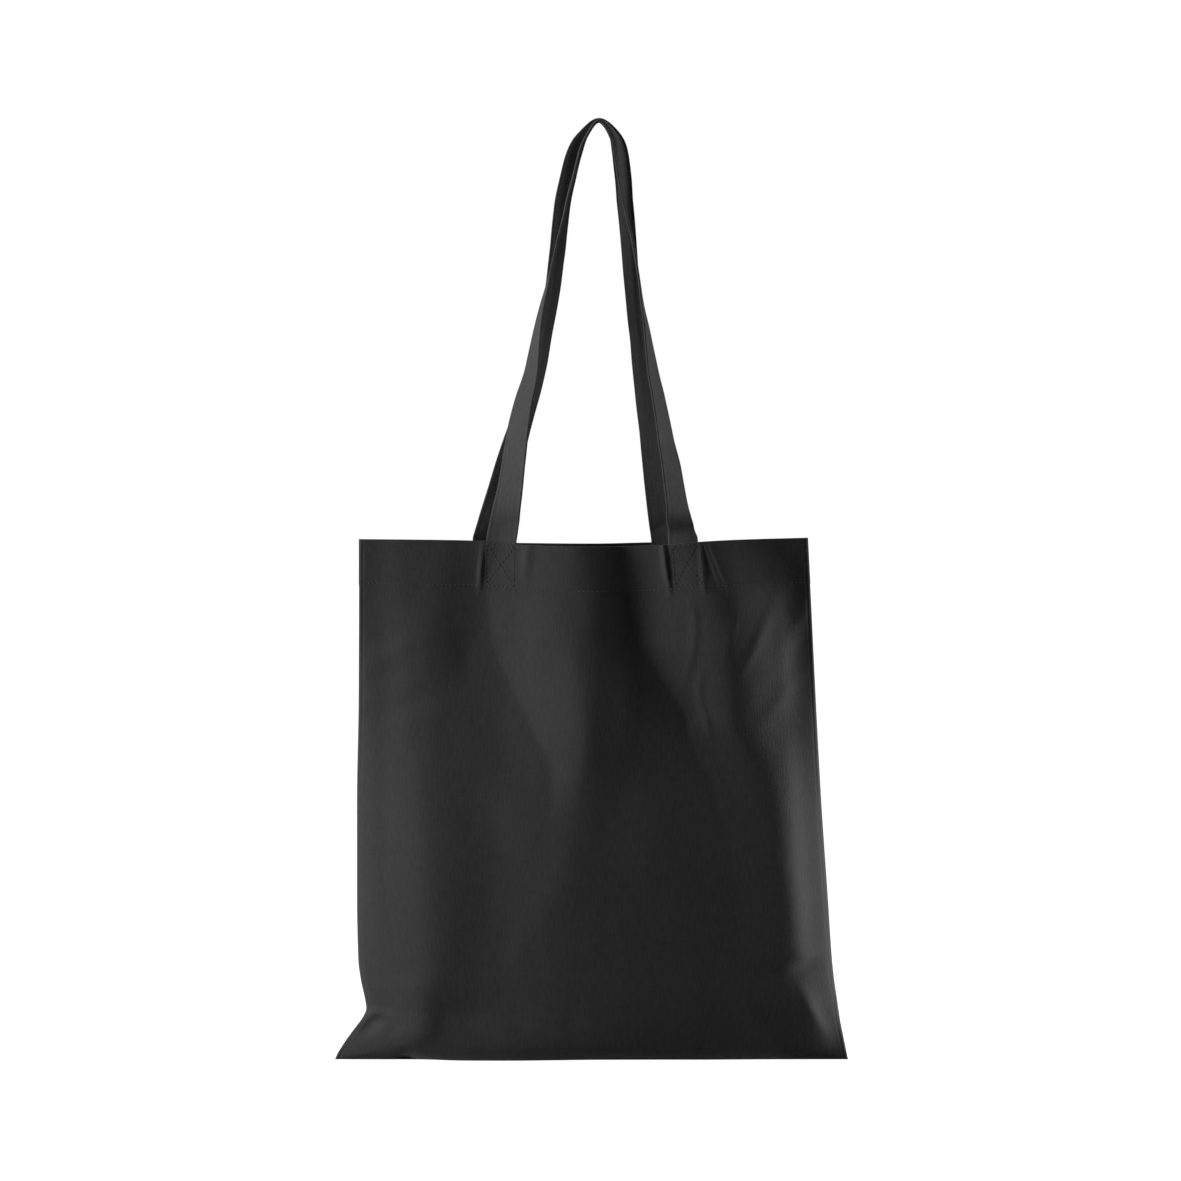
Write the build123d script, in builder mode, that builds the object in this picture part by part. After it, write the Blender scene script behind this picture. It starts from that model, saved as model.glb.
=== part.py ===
"""Canvas tote bag: two cotton panels sewn into a flat-bottomed shopper with two long hand straps.

The bag stands on its base. Origin: bottom centre, on the surface it stands on.
+X runs along the front panel from left to right, +Y from the front panel to the back one, +Z is up.
"""

import os
from math import asin, atan, cos, degrees, radians, sin, sqrt

from build123d import *

os.makedirs("parts", exist_ok=True)

# ---- Driving dimensions, in millimetres ----
bag_width = 380.0           # corner to corner along the bottom seam
rim_height = 386.0          # top edge of the standing bag
hem_depth = 33.0            # cloth turned in at the mouth
cloth = 1.0                 # one layer of canvas
strap_width = 25.0          # cotton strap of the handles
strap_thickness = 1.6
layer_gap = 0.12            # air between two layers sewn together
seam_width = 10.0           # cloth left inside the side and bottom seams
thread = 0.5                # sewing thread
apex_height = 698.0         # centreline of the straps where they are held up
apex_x = 5.0
apex_gap = 1.0              # half of the space between the two straps at the top
hinge_rise = 1.0            # space between the rim and the free part of each strap
box_stitch = (21.0, 27.0)   # stitched box that fastens each strap end
hem_bottom = rim_height - hem_depth

# Plan outline of the standing bag going up: height, left edge, right edge, half of the depth.
# The corners of the base lie flat, the belly is full, and the mouth is drawn together.
OUTLINE = [
    (0.0, -bag_width / 2, bag_width / 2, 40.0),
    (16.0, -180.0, 186.0, 46.0),
    (55.0, -172.0, 181.0, 52.0),
    (130.0, -173.0, 175.0, 56.0),
    (230.0, -172.0, 168.0, 51.0),
    (310.0, -172.0, 164.0, 37.0),
    (hem_bottom, -172.0, 162.0, 29.0),
]
RIM = (rim_height, -172.0, 160.0, 25.0)
HEM = [OUTLINE[-1], RIM]

# Where the middle of each strap crosses the rim, left and right.
STRAP_ROOTS = {"front": (-67.0, 70.0), "back": (-78.0, 56.0)}
SIDES = {"front": -1, "back": 1}    # sign of Y on that side of the bag


def arc_radius(left, right, depth):
    """Radius of the plan arc of a panel, from its chord and its height."""
    half = (right - left) / 2
    return (half**2 + depth**2) / (2 * depth)


def panel_y(x, height):
    """How far the outer face of a panel stands from the seam plane, inside the hem band."""
    (z0, left0, right0, depth0), (z1, left1, right1, depth1) = HEM
    share = (height - z0) / (z1 - z0)
    left, right = left0 + share * (left1 - left0), right0 + share * (right1 - right0)
    depth = depth0 + share * (depth1 - depth0)
    radius = arc_radius(left, right, depth)
    return sqrt(radius**2 - (x - (left + right) / 2) ** 2) - (radius - depth)


def panel_yaw(x):
    """Angle in degrees between the hem and the X axis at x."""
    radius = arc_radius(*RIM[1:])
    return degrees(asin((x - (RIM[1] + RIM[2]) / 2) / radius))


def crescent(outline, sign, inset=0.0, thickness=cloth):
    """Plan section of one curved layer: two arcs on one chord, closed at the seam plane."""
    height, left, right, depth = outline
    middle = (left + right) / 2
    tip = sin(2 * atan(2 * depth / (right - left)))
    outer, inner = inset / tip, (inset + thickness) / tip
    with BuildSketch(Plane.XY.offset(height)) as section:
        with BuildLine():
            outside = ThreePointArc(
                (left + outer, 0), (middle, sign * (depth - inset)), (right - outer, 0)
            )
            inside = ThreePointArc(
                (right - inner, 0), (middle, sign * (depth - inset - thickness)), (left + inner, 0)
            )
            Line(outside @ 1, inside @ 0)
            Line(inside @ 1, outside @ 0)
        make_face()
    return section.sketch


def rim_arc(outline, sign, offset, thickness, margin):
    """Plan section of a thread that follows a panel's outer face, kept clear of the side seams."""
    height, left, right, depth = outline
    radius = arc_radius(left, right, depth)
    half_turn = degrees(asin((right - left) / 2 / radius)) - degrees(margin / radius)
    middle = ((left + right) / 2, sign * (depth - radius))
    start = 90 * sign - half_turn
    with BuildSketch(Plane.XY.offset(height)) as section:
        with BuildLine():
            near = CenterArc(middle, radius + offset, start, 2 * half_turn)
            far = CenterArc(middle, radius + offset + thickness, start, 2 * half_turn)
            Line(near @ 0, far @ 0)
            Line(near @ 1, far @ 1)
        make_face()
    return section.sketch


def seam_section(outline, edge, start, width, thickness):
    """Plan section of a strip of cloth or thread that lies inside a side seam."""
    height, left, right, depth = outline
    tip = sin(2 * atan(2 * depth / (right - left)))
    inward = 1 if edge == "left" else -1
    x = (left if edge == "left" else right) + inward * (cloth / tip + start)
    with BuildSketch(Plane.XY.offset(height)) as section:
        with Locations((x + inward * width / 2, 0)):
            Rectangle(width, thickness)
    return section.sketch


# ---- Panels: wall and the half of the base that it turns under ----
for side, sign in SIDES.items():
    with BuildPart() as panel:
        loft(sections=[crescent(row, sign) for row in OUTLINE])
        loft(sections=[crescent(row, sign) for row in HEM])
        with BuildSketch():
            with BuildLine():
                height, left, right, depth = OUTLINE[0]
                ThreePointArc((left, 0), ((left + right) / 2, sign * depth), (right, 0))
                Line((left, 0), (right, 0))
            make_face()
        extrude(amount=cloth)
    panel.part.label = f"{side}_panel"
    export_step(panel.part, f"parts/{side}_panel.step")

# ---- Hems: the edge of each panel turned in at the mouth ----
for side, sign in SIDES.items():
    with BuildPart() as hem:
        loft(sections=[crescent(row, sign, inset=cloth + layer_gap) for row in HEM])
    hem.part.label = f"{side}_hem"
    export_step(hem.part, f"parts/{side}_hem.step")

# ---- Side seams: two raw edges standing inside the bag, with their overlock thread ----
allowance_start = 5.0
seam_rows = [row for row in OUTLINE if 0 < row[0] < hem_bottom]
seam_rows.append((hem_bottom - 1.0, *OUTLINE[-1][1:]))
for edge in ("left", "right"):
    with BuildPart() as allowance:
        loft(
            sections=[
                seam_section(row, edge, allowance_start, seam_width, 2 * cloth) for row in seam_rows
            ]
        )
    allowance.part.label = f"{edge}_seam_allowance"
    export_step(allowance.part, f"parts/{edge}_seam_allowance.step")

    with BuildPart() as overlock:
        loft(
            sections=[
                seam_section(
                    row, edge, allowance_start + seam_width + layer_gap, thread, 2 * cloth + thread
                )
                for row in seam_rows
            ]
        )
    overlock.part.label = f"{edge}_seam_overlock"
    export_step(overlock.part, f"parts/{edge}_seam_overlock.step")

# ---- Bottom seam: lies on the base inside the bag ----
bottom_length = bag_width - 80.0
bottom_lift = cloth + layer_gap
with BuildPart() as bottom_allowance:
    with BuildSketch(Plane.XY.offset(bottom_lift)):
        with Locations((0, seam_width / 2)):
            RectangleRounded(bottom_length, seam_width, 2.0)
    extrude(amount=2 * cloth)
bottom_allowance.part.label = "bottom_seam_allowance"
export_step(bottom_allowance.part, "parts/bottom_seam_allowance.step")

with BuildPart() as bottom_overlock:
    with BuildSketch(Plane.XY.offset(bottom_lift)):
        with Locations((0, seam_width + layer_gap + thread / 2)):
            Rectangle(bottom_length - 6.0, thread)
    extrude(amount=2 * cloth + thread)
bottom_overlock.part.label = "bottom_seam_overlock"
export_step(bottom_overlock.part, "parts/bottom_seam_overlock.step")

# ---- Hem stitching: one row of thread round the outside of each panel ----
stitch_row = (hem_bottom, *OUTLINE[-1][1:])
for side, sign in SIDES.items():
    with BuildPart() as hem_stitching:
        extrude(rim_arc(stitch_row, sign, layer_gap, thread, margin=8.0), amount=thread)
    hem_stitching.part.label = f"{side}_hem_stitching"
    export_step(hem_stitching.part, f"parts/{side}_hem_stitching.step")

# ---- Strap ends: flat inside the hem, each fastened by a stitched box with a cross in it ----
end_inset = 2 * cloth + 5 * layer_gap
for side, sign in SIDES.items():
    for hand, x in zip(("left", "right"), STRAP_ROOTS[side]):
        yaw = -sign * panel_yaw(x)
        across = (cos(radians(yaw)), sin(radians(yaw)), 0)

        with BuildPart() as strap_end:
            for height in (hem_bottom + 2.0, rim_height):
                y = sign * (panel_y(x, height) - end_inset - strap_thickness / 2)
                with BuildSketch(Plane((x, y, height), x_dir=across)):
                    Rectangle(strap_width, strap_thickness)
            loft()
        strap_end.part.label = f"{side}_{hand}_strap_end"
        export_step(strap_end.part, f"parts/{side}_{hand}_strap_end.step")

        low, high = hem_bottom + 3.5, hem_bottom + 3.5 + box_stitch[1]
        lean = (0, sign * (panel_y(x, high) - panel_y(x, low)), high - low)
        outward = Vector(*across).cross(Vector(*lean)) * -sign
        middle = (low + high) / 2
        face = Plane(
            (x, sign * (panel_y(x, middle) + 2 * layer_gap), middle),
            x_dir=across,
            z_dir=outward,
        )
        with BuildPart() as box_stitching:
            with BuildSketch(face):
                Rectangle(*box_stitch)
                offset(amount=-thread, mode=Mode.SUBTRACT)
                diagonal = degrees(atan(box_stitch[1] / box_stitch[0]))
                length = sqrt(box_stitch[0] ** 2 + box_stitch[1] ** 2) - 2 * thread
                for angle in (diagonal, -diagonal):
                    with Locations(Rotation(0, 0, angle)):
                        Rectangle(length, thread)
            extrude(amount=thread)
        box_stitching.part.label = f"{side}_{hand}_box_stitching"
        export_step(box_stitching.part, f"parts/{side}_{hand}_box_stitching.step")


# ---- Handles: one strap each, rising from its two roots and twisting to pass over the top edge-on ----
strap_start = rim_height + hinge_rise
twist_end = rim_height + 190.0      # the strap has turned by a quarter at this height
# Points up each leg: height, and distance from the middle as a share of the distance at the root.
KNEES = [(450.0, 0.84), (512.0, 0.67), (twist_end, 0.505), (640.0, 0.335)]
# Points of the narrow arch: height, and distance from the middle.
ARCH = [(672.0, 17.0), (690.0, 9.8)]
leg_stations, arch_stations = 30, 24


def leg_points(root_x, sign):
    """Centreline of one leg from its root at the rim up to the arch."""
    root_y = sign * (panel_y(root_x, rim_height) - end_inset - strap_thickness / 2)
    apex_y = sign * (apex_gap + strap_width / 2)
    points = [(root_x, root_y, strap_start)]
    for height, share in KNEES:
        climb = (height - strap_start) / (apex_height - strap_start)
        x = apex_x + share * (root_x - apex_x)
        points.append((x, root_y + climb * (apex_y - root_y), height))
    way = 1 if root_x > apex_x else -1
    points += [(apex_x + way * half, apex_y, height) for height, half in ARCH]
    return points


def strap_plane(path, along, sign):
    """Plane across the strap at a share of its length, turned by the strap's twist there."""
    point, tangent = path @ along, path % along
    turn = min(1.0, (point.Z - strap_start) / (twist_end - strap_start))
    leg = 1 if along < 0.5 else -1
    across = (leg * cos(radians(90 * turn)), sign * sin(radians(90 * turn)), 0)
    return Plane(point, x_dir=across, z_dir=tangent)


for side, sign in SIDES.items():
    left_leg, right_leg = (leg_points(x, sign) for x in STRAP_ROOTS[side])
    apex = (apex_x, sign * (apex_gap + strap_width / 2), apex_height)
    path = Spline(*left_leg, apex, *reversed(right_leg), tangents=((0, 0, 1), (0, 0, -1)))
    left_turn, right_turn = (path.param_at_point(leg[3]) for leg in (left_leg, right_leg))
    left_shares = [left_turn * i / leg_stations for i in range(leg_stations + 1)]
    right_shares = [1 - (1 - right_turn) * i / leg_stations for i in range(leg_stations, -1, -1)]
    # The arch's stations crowd together where it bends most.
    spread = [2 * i / arch_stations - 1 for i in range(arch_stations + 1)]
    eased = [0.3 * t + 0.7 * t**3 for t in spread]
    middle, half = (left_turn + right_turn) / 2, (right_turn - left_turn) / 2
    arch_shares = [middle + half * t for t in eased]

    with BuildPart() as handle:
        for shares in (left_shares, arch_shares, right_shares):
            for along in shares:
                with BuildSketch(strap_plane(path, along, sign)):
                    Rectangle(strap_width, strap_thickness)
            loft()
    handle.part.label = f"{side}_handle"
    export_step(handle.part, f"parts/{side}_handle.step")
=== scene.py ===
# %% [markdown]
# # A cotton tote bag, modelled as sewn cloth
# The real bag is two panels of plain woven cotton, sewn inside out along the sides and the base,
# with the top edge turned in and two straps fastened inside that hem. It stands lightly filled,
# with both straps held up at one point. Nothing on it is a solid block, so every piece here is a
# curved sheet with a thickness. The CAD frame says where the bag, its rim and its straps are, and
# this script works out the cloth around it.

import math

import bpy
import numpy as np
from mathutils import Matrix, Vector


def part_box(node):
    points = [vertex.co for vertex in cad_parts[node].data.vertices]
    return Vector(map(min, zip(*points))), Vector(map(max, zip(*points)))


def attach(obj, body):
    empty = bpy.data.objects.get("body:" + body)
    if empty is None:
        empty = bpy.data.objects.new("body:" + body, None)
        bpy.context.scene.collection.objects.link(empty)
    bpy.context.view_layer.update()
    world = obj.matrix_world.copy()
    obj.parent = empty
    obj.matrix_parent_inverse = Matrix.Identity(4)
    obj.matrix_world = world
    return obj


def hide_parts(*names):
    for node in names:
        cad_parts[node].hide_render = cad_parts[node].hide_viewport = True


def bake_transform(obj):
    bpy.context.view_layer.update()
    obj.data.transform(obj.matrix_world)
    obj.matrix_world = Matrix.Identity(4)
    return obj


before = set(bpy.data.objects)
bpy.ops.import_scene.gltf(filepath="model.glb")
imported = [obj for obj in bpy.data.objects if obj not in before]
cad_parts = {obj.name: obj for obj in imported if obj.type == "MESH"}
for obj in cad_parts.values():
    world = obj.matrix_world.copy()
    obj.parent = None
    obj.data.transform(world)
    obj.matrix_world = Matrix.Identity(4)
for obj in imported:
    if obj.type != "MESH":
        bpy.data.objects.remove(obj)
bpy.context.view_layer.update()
MM = 0.001      # everything below is worked out in millimetres; meshes are in metres


def node_box(name):
    """Lowest and highest corner of a CAD node, in millimetres."""
    low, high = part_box(name)
    return np.array(low) / MM, np.array(high) / MM


panel_low, panel_high = node_box("front_panel")
hem_low, hem_high = node_box("front_hem")
strap_top = node_box("back_handle")[1][2]
HALF_WIDTH = panel_high[0]              # from the middle to a corner of the base
RIM = hem_high[2]                       # height of the mouth
HEM_DEPTH = hem_high[2] - hem_low[2]    # cloth turned in at the mouth
BELLY = -panel_low[1]                   # how far each panel stands out at its fullest
CLOTH = 0.7                             # thickness of the canvas
LAYER_AIR = 0.15                        # air between two sewn layers
print(f"bag: corner {HALF_WIDTH:.0f}, rim {RIM:.0f}, hem {HEM_DEPTH:.0f}, belly {BELLY:.0f} mm")

# %% [markdown]
# ## Smooth curves from a few points
# Cloth has no corners along its height, so each outline of the bag is a curve through a handful of
# given heights. A cubic whose slope at each point is the harmonic mean of its neighbours' slopes
# never swings past the points, which a plain spline does next to a sharp bend such as a corner ear.
# The small unevenness of real cloth is a lattice of seeded random numbers, blended smoothly.

# %% Curves and unevenness
def flow(at, knots, values):
    """Curve through (knots, values): between two knots, the Hermite cubic of their slopes."""
    knots, values = np.asarray(knots, float), np.asarray(values, float)
    steps = np.diff(knots)
    rise = np.diff(values) / steps
    slope = np.zeros_like(values)
    same = rise[:-1] * rise[1:] > 0
    safe = np.where(same, rise[:-1] + rise[1:], 1.0)
    slope[1:-1] = np.where(same, 2 * rise[:-1] * rise[1:] / safe, 0.0)
    slope[0], slope[-1] = rise[0], rise[-1]
    i = np.clip(np.searchsorted(knots, at) - 1, 0, len(knots) - 2)
    t = np.clip((at - knots[i]) / steps[i], 0, 1)
    start = (1 + 2 * t) * (1 - t) ** 2 * values[i] + t * (1 - t) ** 2 * steps[i] * slope[i]
    end = t * t * (3 - 2 * t) * values[i + 1] + t * t * (t - 1) * steps[i] * slope[i + 1]
    return start + end


def smooth_step(t):
    """0 below 0, 1 above 1, and 3t^2 - 2t^3 between."""
    t = np.clip(t, 0, 1)
    return t * t * (3 - 2 * t)


LATTICE = 256       # random numbers each way


def unevenness(a, b, size_a, size_b, seed):
    """Random waves from -1 to 1: a lattice of seeded numbers, size_a by size_b mm a cell, blended."""
    lattice = np.random.default_rng(seed).uniform(-1, 1, (LATTICE, LATTICE))
    a, b = a / size_a + LATTICE / 2, b / size_b + LATTICE / 2
    i, j = np.floor(a).astype(int), np.floor(b).astype(int)
    s, t = smooth_step(a - i), smooth_step(b - j)
    i, next_i, j, next_j = i % LATTICE, (i + 1) % LATTICE, j % LATTICE, (j + 1) % LATTICE
    low = lattice[i, j] * (1 - s) + lattice[next_i, j] * s
    high = lattice[i, next_j] * (1 - s) + lattice[next_i, next_j] * s
    return low * (1 - t) + high * t


# %% [markdown]
# ## The outline of the standing bag
# Seen from the front, the left seam stands straight and the right one leans out towards the base.
# At each lower corner the seam is pinched in and then runs out to a flat ear on the table. The rim
# dips between the straps. Seen from the side, the bag is drawn together at the mouth, full in the
# middle, and rolls under at the base.

# %% Outline
def left_edge(z):
    """X of the left side seam: how far it stands in from the corner, at each height."""
    heights = [0, 4, 8, 15, 24, 32, 38, 46, 60, 75, 120, 190, 270, RIM]
    inset = [0, 1.4, 3.8, 8.4, 15, 20.8, 23.2, 22, 19, 17.2, 16.3, 16.3, 17.6, 18]
    return -HALF_WIDTH + flow(z, heights, inset)


def right_edge(z):
    """X of the right side seam."""
    heights = [0, 8, 15, 30, 45, 60, 75, 120, 193, 267, 341, RIM]
    inset = [0, 1.6, 3.0, 6.0, 8.2, 10.4, 12, 15, 20, 24, 27.6, 30]
    return HALF_WIDTH + 1.0 - flow(z, heights, inset)


def between_seams(share, z):
    """X of the point a share of the way from the left seam to the right one."""
    return left_edge(z) + share * (right_edge(z) - left_edge(z))


def belly(z):
    """How far the middle of a panel stands out from the seam plane."""
    heights = [0, 12, 30, 60, 130, 230, 310, RIM - HEM_DEPTH, RIM]
    share = [0.70, 0.77, 0.83, 0.87, 0.89, 0.68, 0.43, 0.33, 0.30]
    return BELLY * flow(z, heights, share)


def fullness(z):
    """Exponent of the plan curve: above 1 it is pointed at the seams, below 1 it is rounded."""
    return flow(z, [0, 25, 60, 150, 250, 310, 350, RIM], [1.2, 0.8, 0.58, 0.60, 0.78, 1.1, 1.5, 1.9])


def rim_height(side, x):
    """Height of the rim, which dips between the straps and rises to the seams."""
    across = [-172, -110, -78, -50, 0, 50, 85, 110, 160]
    front = [0.6, 0.0, -0.8, -3.6, -5.0, -3.8, -1.0, 0.2, 1.6]
    back = [0.6, -1.0, -1.8, -2.4, -2.8, -1.8, -1.4, -0.8, 1.6]
    return RIM + flow(x, across, front if side == "front" else back)


# %% [markdown]
# ## Folds
# A soft fold in hanging cloth is a ridge with one broad flank and one short one. Each fold here is a
# crest that wanders down the panel, with its height and the width of its two flanks given at a few
# levels. To the right of the crest the profile is half a cosine wave, so it joins the panel with no
# edge. To the left it falls away just beside the crest and eases out. The long folds start where the
# straps pull, and the sharp little ones are puckers beside the stitched boxes.

# %% Folds
# Each row of a fold: level, X of the crest, height of the fold, width to its left, width to its right.
FOLDS = {
    "front": {
        "from_left_strap": [
            (386, -9, 8.0, 58, 40), (346, -3, 8.0, 74, 42), (309, -3, 8.0, 70, 42),
            (275, -2, 8.0, 56, 40), (239, -2, 6.5, 38, 36), (218, -4, 4.4, 26, 34),
            (180, -9, 2.2, 22, 36), (120, -14, 0, 24, 30),
        ],
        "shoulder": [
            (386, -9, 4.5, 58, 50), (346, -3, 5.0, 74, 54), (309, -3, 5.5, 70, 54),
            (275, -2, 6.5, 56, 56), (239, -2, 4.6, 38, 66), (214, -5, 2.0, 26, 66), (180, -9, 0, 22, 60),
        ],
        "from_right_strap": [
            (386, 79, 18, 56, 56), (365, 87, 22, 64, 62), (341, 96, 25, 68, 66), (312, 102, 25, 66, 66),
            (282, 104, 20, 52, 62), (252, 106, 14, 36, 56), (223, 122, 10, 44, 46),
            (193, 134, 8, 42, 36), (150, 140, 6, 38, 30), (80, 144, 3, 34, 26), (30, 144, 0, 30, 26),
        ],
        "left_valley": [
            (386, -80, -4, 60, 60), (341, -80, -6, 60, 66), (300, -76, -7, 62, 68), (250, -70, -6, 64, 60),
            (200, -66, -5, 60, 54), (140, -66, -4, 54, 54), (60, -66, -3, 50, 54), (14, -66, 0, 50, 50),
        ],
        "upper_left": [
            (386, -114, 1.4, 50, 30), (352, -116, 1.8, 44, 32), (326, -119, 3.0, 38, 34),
            (300, -122, 3.2, 38, 34), (275, -126, 1.4, 36, 40), (250, -128, 0, 34, 40),
        ],
        "left_side": [
            (290, -138, 0, 30, 50), (240, -134, 3.0, 34, 60), (150, -122, 4.0, 46, 52),
            (60, -122, 4.0, 44, 44), (10, -124, 1.0, 40, 40),
        ],
        "left_hollow": [
            (330, -152, 0, 20, 100), (280, -152, -2.2, 22, 110), (150, -151, -2.6, 24, 110),
            (70, -148, -1.4, 26, 100), (44, -148, 0, 26, 80),
        ],
        "lower_left_corner": [
            (66, -132, 0, 26, 18), (50, -129, 1.8, 26, 21), (34, -126, 3.4, 28, 22),
            (22, -128, 3.0, 28, 22), (10, -137, 1.4, 28, 22), (0, -144, 0, 28, 20),
        ],
        "corner_crease": [
            (74, -161, 0, 3, 3), (58, -162, -0.9, 3, 3.5), (44, -161, -0.5, 3, 4), (38, -161, 0, 3, 4),
        ],
        "right_side": [
            (300, 142, 0, 40, 20), (240, 142, 1.5, 46, 26), (150, 146, 3.5, 52, 30),
            (78, 152, 5.0, 50, 30), (62, 156, 2.5, 40, 22), (40, 160, 5.5, 44, 26), (6, 172, 1.0, 30, 16),
        ],
        "left_box_pucker": [
            (384, -81, 0.2, 2.4, 2.0), (364, -81.8, 1.5, 3.0, 2.2), (346, -83, 0.2, 3.0, 2.4),
        ],
        "beside_left_box": [
            (386, -47, 1.2, 5.0, 8.0), (370, -48.5, 0.9, 4.4, 7.0), (352, -50, 0, 3.0, 6.0),
        ],
        "right_box_pucker": [
            (386, 52.4, 1.6, 4.4, 2.0), (366, 55.4, 2.2, 4.6, 1.9), (344, 59, 0.3, 3.4, 2.4),
        ],
        "right_box_edge": [
            (386, 79.6, 0.8, 2.4, 2.0), (366, 82, 1.7, 2.8, 2.2), (346, 84, 0.4, 2.6, 2.6),
        ],
        "diagonal_pucker": [
            (386, 83, 1.4, 3.6, 2.6), (366, 91, 2.0, 4.2, 3.0), (342, 101, 0.2, 5.0, 4.0),
        ],
        "strap_wrinkle_high": [
            (348, 72, 0, 5, 5), (325, 77, 0.6, 6, 5), (300, 75, 0.5, 6, 5), (280, 70, 0, 5, 5),
        ],
        "strap_wrinkle_low": [
            (296, 84, 0, 5, 5), (272, 80, 0.6, 6, 5), (250, 86, 0.5, 6, 4), (234, 88, 0, 5, 4),
        ],
    },
    "back": {
        "from_left_strap": [
            (386, -60, 4.5, 40, 44), (340, -52, 6.5, 46, 56), (280, -38, 6.5, 50, 52),
            (220, -26, 4.0, 46, 44), (160, -22, 0, 36, 36),
        ],
        "from_right_strap": [
            (386, 38, 5.0, 34, 40), (345, 30, 7.0, 36, 54), (280, 26, 6.5, 34, 58),
            (200, 22, 4.0, 34, 46), (130, 20, 0, 30, 36),
        ],
        "left_side": [
            (330, -128, 0, 30, 40), (260, -130, 3.5, 34, 52), (150, -128, 4.5, 40, 50),
            (60, -132, 3.5, 36, 40), (8, -134, 0, 30, 36),
        ],
        "right_side": [
            (330, 118, 0, 40, 30), (250, 126, 4.0, 50, 34), (150, 132, 4.5, 50, 34),
            (60, 140, 3.5, 44, 30), (8, 150, 0, 30, 20),
        ],
        "lower_right_corner": [
            (60, 138, 0, 30, 30), (36, 136, 2.4, 28, 34), (14, 138, 1.6, 28, 34), (0, 140, 0, 28, 30),
        ],
        "left_box_pucker": [
            (386, -92, 0.8, 2.4, 2.2), (366, -94, 0.9, 2.4, 2.2), (346, -96, 0.1, 2.6, 2.4),
        ],
        "right_box_pucker": [
            (386, 70, 0.9, 2.2, 2.6), (366, 72, 1.0, 2.2, 2.8), (344, 75, 0.1, 2.4, 3.0),
        ],
    },
}


WANDER = 0.9                            # how far a crest strays from its line
CREST_ROUND = 0.16                      # rounding of the crest, as a share of the left flank


def fold_relief(side, x, z):
    """Sum of the side's folds: to the right of a crest, half a cosine wave; to its left, a slope that
    sets in just beside the crest and eases out, (1 - r)^1.15 with r a rounded distance."""
    relief = np.zeros(np.broadcast(x, z).shape)
    for rows in FOLDS[side].values():
        level, crest, height, wide_left, wide_right = np.array(rows[::-1], float).T
        away = x - flow(z, level, crest) - WANDER * unevenness(z, 0 * z, 24, 1, len(rows))
        width = np.where(away < 0, flow(z, level, wide_left), flow(z, level, wide_right))
        reach = np.clip(np.abs(away) / width, 0, 1)
        rounded = np.sqrt(reach**2 + CREST_ROUND**2) - CREST_ROUND
        rounded = rounded / (math.sqrt(1 + CREST_ROUND**2) - CREST_ROUND)
        profile = np.where(away < 0, (1 - rounded) ** 1.15, 0.5 * (1 + np.cos(math.pi * reach)))
        inside = (z >= level[0]) & (z <= level[-1] + 8)
        relief = relief + inside * flow(z, level, height) * profile
    return relief


# Some creases run across instead of down, so these are given by their middle and direction: the
# one that closes the pinch above the left ear, and the soft dents by the right corner.
# Each row of a dent: X, level, height (less than 0 goes in), half length, half width, direction in degrees.
DENTS = {
    "front": [
        (-162, 35, 4.6, 8, 3.0, -6), (-163, 26, -3.6, 8, 4.2, 44), (-148, 33, 0.9, 9, 3.0, -8),
        (-146, 24, -0.9, 6, 5, 60), (157, 70, -2.6, 11, 5, 20), (160, 80, 1.4, 12, 4, 12),
        (166, 34, 1.8, 20, 4, 118), (118, 300, 0.9, 18, 3.6, 62), (128, 322, 1.0, 20, 4.0, 66),
        (104, 316, 0.8, 15, 3.0, 74), (152, 322, 2.0, 22, 7, 70), (140, 268, 1.2, 24, 6, 55),
        (-150, 300, 1.2, 22, 8, 28), (-140, 262, -1.4, 26, 9, 20), (-60, 190, 1.2, 46, 16, 118),
        (-30, 118, 0.9, 40, 14, 64), (60, 120, 1.1, 50, 18, 108), (96, 180, 1.0, 40, 14, 118),
    ],
    "back": [
        (140, 40, 2.0, 14, 5, 170), (-150, 70, -2.2, 12, 6, 160), (60, 300, 1.0, 24, 5, 110),
        (-70, 290, 1.2, 26, 5, 62), (10, 150, 1.2, 50, 16, 100), (-90, 170, 1.2, 44, 15, 70),
    ],
}


def dent_relief(side, x, z):
    """Sum of the side's dents: height times a bell curve that is long one way and narrow the other."""
    relief = np.zeros(np.broadcast(x, z).shape)
    for middle_x, level, height, long, narrow, degrees in DENTS[side]:
        turn = math.radians(degrees)
        along = (x - middle_x) * math.cos(turn) + (z - level) * math.sin(turn)
        across = (z - level) * math.cos(turn) - (x - middle_x) * math.sin(turn)
        relief = relief + height * np.exp(-((along / long) ** 2) - (across / narrow) ** 2)
    return relief


# %% [markdown]
# ## The surface of a panel
# One function says how far the outer face of a panel stands from the seam plane at any point. It adds
# the fullness of the bag, the folds, a rounded lip along the seams where the two panels meet, the
# line pressed beside each seam, the step where the hem makes the cloth double, and a little
# unevenness. Stitches and strap ends ask the same function where the cloth is, so they lie on it.

# %% Panel surface
SEED = {"front": 11, "back": 47}
SIGN = {"front": -1.0, "back": 1.0}     # the front panel faces -Y
LIP = 1.5                               # half of the thickness of the bag at its side seams


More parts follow.
